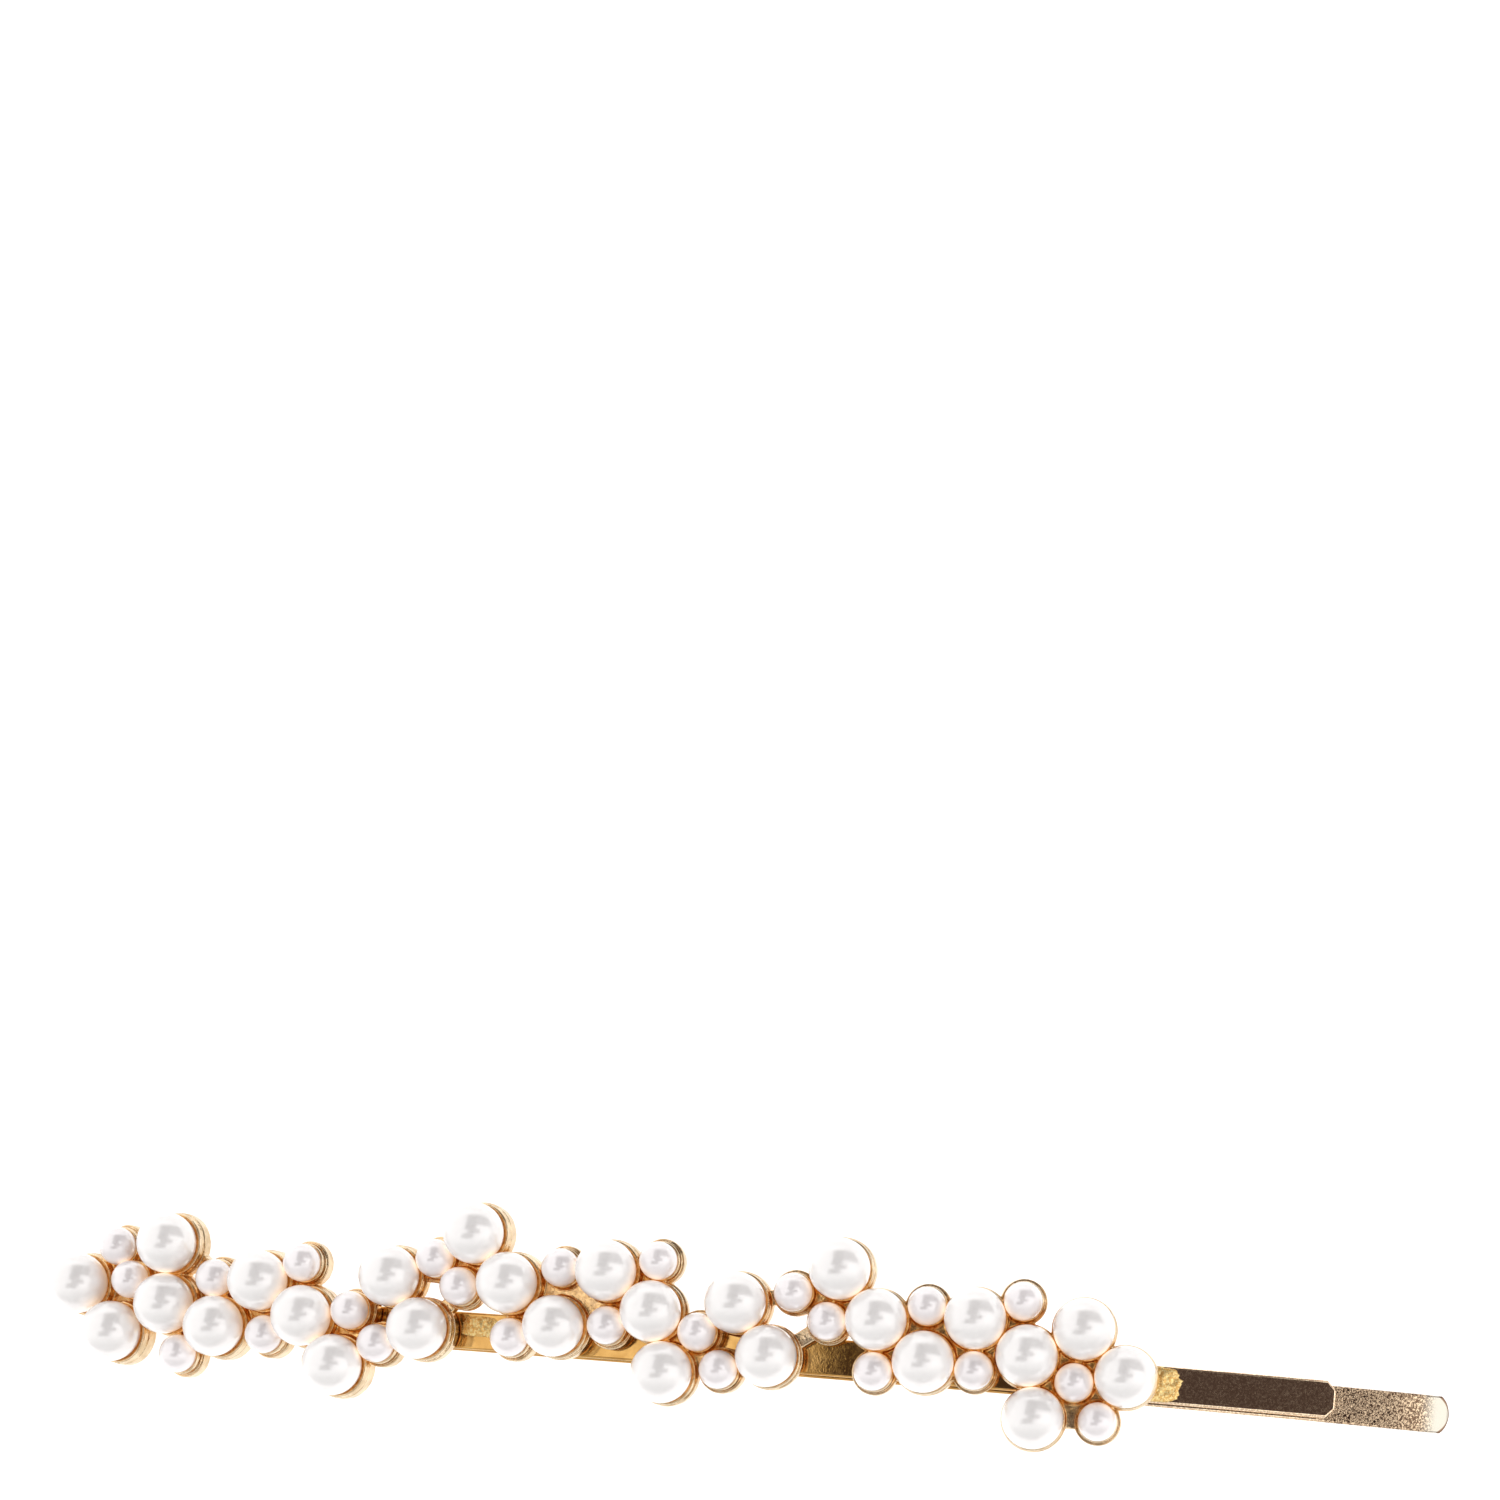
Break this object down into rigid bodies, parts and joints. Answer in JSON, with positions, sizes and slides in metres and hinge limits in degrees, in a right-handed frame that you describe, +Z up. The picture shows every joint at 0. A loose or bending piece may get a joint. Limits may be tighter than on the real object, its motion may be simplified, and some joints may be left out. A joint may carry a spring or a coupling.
{
  "type": "pearl hair slide",
  "caption": "Curved hair slide: a cluster of imitation pearls in cast cups, soldered to the upper leg of a folded spring strip whose lower leg opens as the clip.",
  "frame": {"origin": "middle of the bounding box, on the surface that the slide stands on", "axes": "+X along the slide, from the fold to the open end of the legs; +Z up, out through the pearls; the strip's middle line runs along X"},
  "size_m": [0.0938, 0.0134, 0.0142],
  "materials": {
    "pearl_large": "pearl lacquer, satin gloss",
    "pearl_small": "pearl lacquer, satin gloss",
    "cast_gold": "polished pale gold plating over a casting",
    "strip_gold": "gold-plated spring steel, faintly pitted",
    "solder_gold": "rough gold-plated solder"
  },
  "bodies": {
    "slide": {"setting": "cast_gold", "upper_leg": "strip_gold", "fold": "strip_gold", "solder_joint_1": "solder_gold", "solder_joint_2": "solder_gold", "solder_joint_3": "solder_gold", "solder_joint_4": "solder_gold", "large_pearl_01": "pearl_large", "small_pearl_02": "pearl_small", "large_pearl_03": "pearl_large", "small_pearl_04": "pearl_small", "large_pearl_05": "pearl_large", "large_pearl_06": "pearl_large", "small_pearl_07": "pearl_small", "small_pearl_08": "pearl_small", "large_pearl_09": "pearl_large", "large_pearl_10": "pearl_large", "small_pearl_11": "pearl_small", "small_pearl_12": "pearl_small", "large_pearl_13": "pearl_large", "large_pearl_14": "pearl_large", "small_pearl_15": "pearl_small", "small_pearl_16": "pearl_small", "large_pearl_17": "pearl_large", "large_pearl_18": "pearl_large", "small_pearl_19": "pearl_small", "small_pearl_20": "pearl_small", "large_pearl_21": "pearl_large", "large_pearl_22": "pearl_large", "small_pearl_23": "pearl_small", "small_pearl_24": "pearl_small", "large_pearl_25": "pearl_large", "large_pearl_26": "pearl_large", "small_pearl_27": "pearl_small", "large_pearl_28": "pearl_large", "small_pearl_29": "pearl_small", "large_pearl_30": "pearl_large", "small_pearl_31": "pearl_small", "small_pearl_32": "pearl_small", "large_pearl_33": "pearl_large", "large_pearl_34": "pearl_large", "small_pearl_35": "pearl_small", "small_pearl_36": "pearl_small", "large_pearl_37": "pearl_large", "large_pearl_38": "pearl_large", "small_pearl_39": "pearl_small", "small_pearl_40": "pearl_small", "large_pearl_41": "pearl_large", "large_pearl_42": "pearl_large", "small_pearl_43": "pearl_small", "small_pearl_44": "pearl_small", "large_pearl_45": "pearl_large", "large_pearl_46": "pearl_large", "small_pearl_47": "pearl_small", "large_pearl_48": "pearl_large", "small_pearl_49": "pearl_small", "large_pearl_50": "pearl_large"},
    "clip": {"lower_leg": "strip_gold"}
  },
  "joints": [
    {"name": "clip_open", "type": "hinge", "parent": "slide", "child": "clip", "pos_m": [-0.03993, -0.00166, 0.00144], "axis": [0, 1, 0], "range_deg": [0, 8], "stiffness_Nm_per_rad": 0.05, "springref_deg": -1.72}
  ]
}
